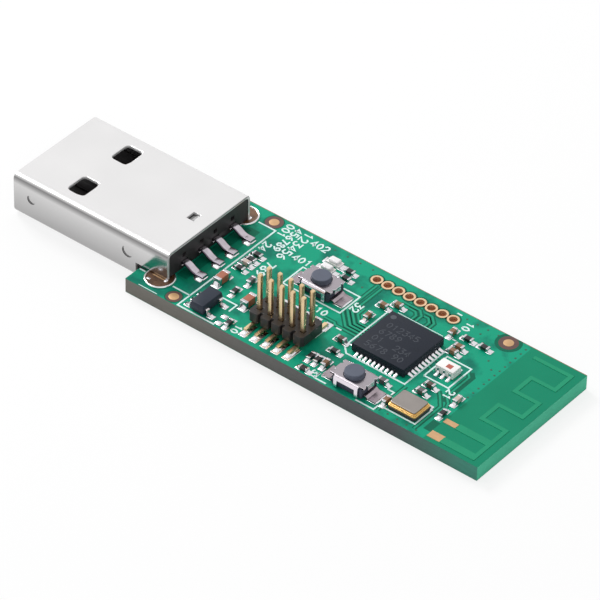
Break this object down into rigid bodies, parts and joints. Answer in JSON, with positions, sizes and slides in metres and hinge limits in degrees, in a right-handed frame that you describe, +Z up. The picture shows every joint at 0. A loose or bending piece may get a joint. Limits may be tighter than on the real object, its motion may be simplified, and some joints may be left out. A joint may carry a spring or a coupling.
{
  "type": "smart home usb radio stick",
  "caption": "Bare circuit-board radio stick with a folded-steel plug, pin header, two push buttons, radio chip, crystal and printed antenna.",
  "frame": {"origin": "under the middle of the stick's length and width, on the surface that the board lies on", "axes": "+X from the mouth of the plug towards the printed antenna, +Y across the board towards its far long edge, +Z up through the board"},
  "size_m": [0.0564, 0.0164, 0.0072],
  "materials": {
    "board_mask": "green solder mask over glass-epoxy laminate",
    "plug_steel": "bright nickel-plated folded sheet",
    "black_moulding": "black moulded plastic",
    "tinned_metal": "tin-plated copper alloy",
    "gold_plate": "thin gold plate",
    "chip_moulding": "fine matt moulded epoxy",
    "dark_ceramic": "dark fired ceramic",
    "lid_steel": "satin plated lid",
    "white_ceramic": "white fired ceramic",
    "button_steel": "silver-plated pressed steel",
    "button_moulding": "grey-blue moulded plastic",
    "led_clear": "clear moulded resin on a white carrier",
    "capacitor_ceramic": "brown ceramic with tinned ends",
    "resistor_glaze": "black glaze with tinned ends"
  },
  "bodies": {
    "stick": {"circuit_board": "board_mask", "usb_shell": "plug_steel", "usb_insulator": "black_moulding", "usb_contact_1": "tinned_metal", "usb_contact_2": "tinned_metal", "usb_contact_3": "tinned_metal", "usb_contact_4": "tinned_metal", "regulator": "chip_moulding", "radio_chip": "chip_moulding", "crystal_case": "dark_ceramic", "crystal_ring": "gold_plate", "crystal_lid": "lid_steel", "balun": "white_ceramic", "header_body": "black_moulding", "header_pin_01": "gold_plate", "header_pin_02": "gold_plate", "header_pin_03": "gold_plate", "header_pin_04": "gold_plate", "header_pin_05": "gold_plate", "header_pin_06": "gold_plate", "header_pin_07": "gold_plate", "header_pin_08": "gold_plate", "header_pin_09": "gold_plate", "header_pin_10": "gold_plate", "button_1_base": "black_moulding", "button_1_cover": "button_steel", "button_1_dome": "tinned_metal", "button_1_terminal_left": "tinned_metal", "button_1_terminal_right": "tinned_metal", "button_2_base": "black_moulding", "button_2_cover": "button_steel", "button_2_dome": "tinned_metal", "button_2_terminal_left": "tinned_metal", "button_2_terminal_right": "tinned_metal", "led_1": "led_clear", "led_2": "led_clear", "plug_capacitor": "capacitor_ceramic", "input_capacitor": "capacitor_ceramic", "output_capacitor": "capacitor_ceramic", "supply_bead": "capacitor_ceramic", "chip_capacitor_1": "capacitor_ceramic", "chip_capacitor_2": "capacitor_ceramic", "chip_capacitor_3": "capacitor_ceramic", "chip_capacitor_4": "capacitor_ceramic", "chip_capacitor_5": "capacitor_ceramic", "chip_capacitor_6": "capacitor_ceramic", "chip_capacitor_7": "capacitor_ceramic", "chip_capacitor_8": "capacitor_ceramic", "chip_capacitor_9": "capacitor_ceramic", "crystal_capacitor": "capacitor_ceramic", "match_capacitor_1": "capacitor_ceramic", "match_capacitor_2": "capacitor_ceramic", "match_coil": "capacitor_ceramic", "antenna_link": "resistor_glaze", "reset_resistor": "resistor_glaze", "reset_pull_up": "resistor_glaze", "button_resistor": "resistor_glaze", "bias_resistor": "resistor_glaze"},
    "button_1_key": {"button_1_plunger": "button_moulding"},
    "button_2_key": {"button_2_plunger": "button_moulding"}
  },
  "joints": [
    {"name": "button_1_press", "type": "slide", "parent": "stick", "child": "button_1_key", "axis": [0, 0, -1], "range_m": [0, 0.00025], "stiffness_N_per_m": 6000, "deforming": ["button_1_dome"]},
    {"name": "button_2_press", "type": "slide", "parent": "stick", "child": "button_2_key", "axis": [0, 0, -1], "range_m": [0, 0.00025], "stiffness_N_per_m": 6000, "deforming": ["button_2_dome"]}
  ]
}
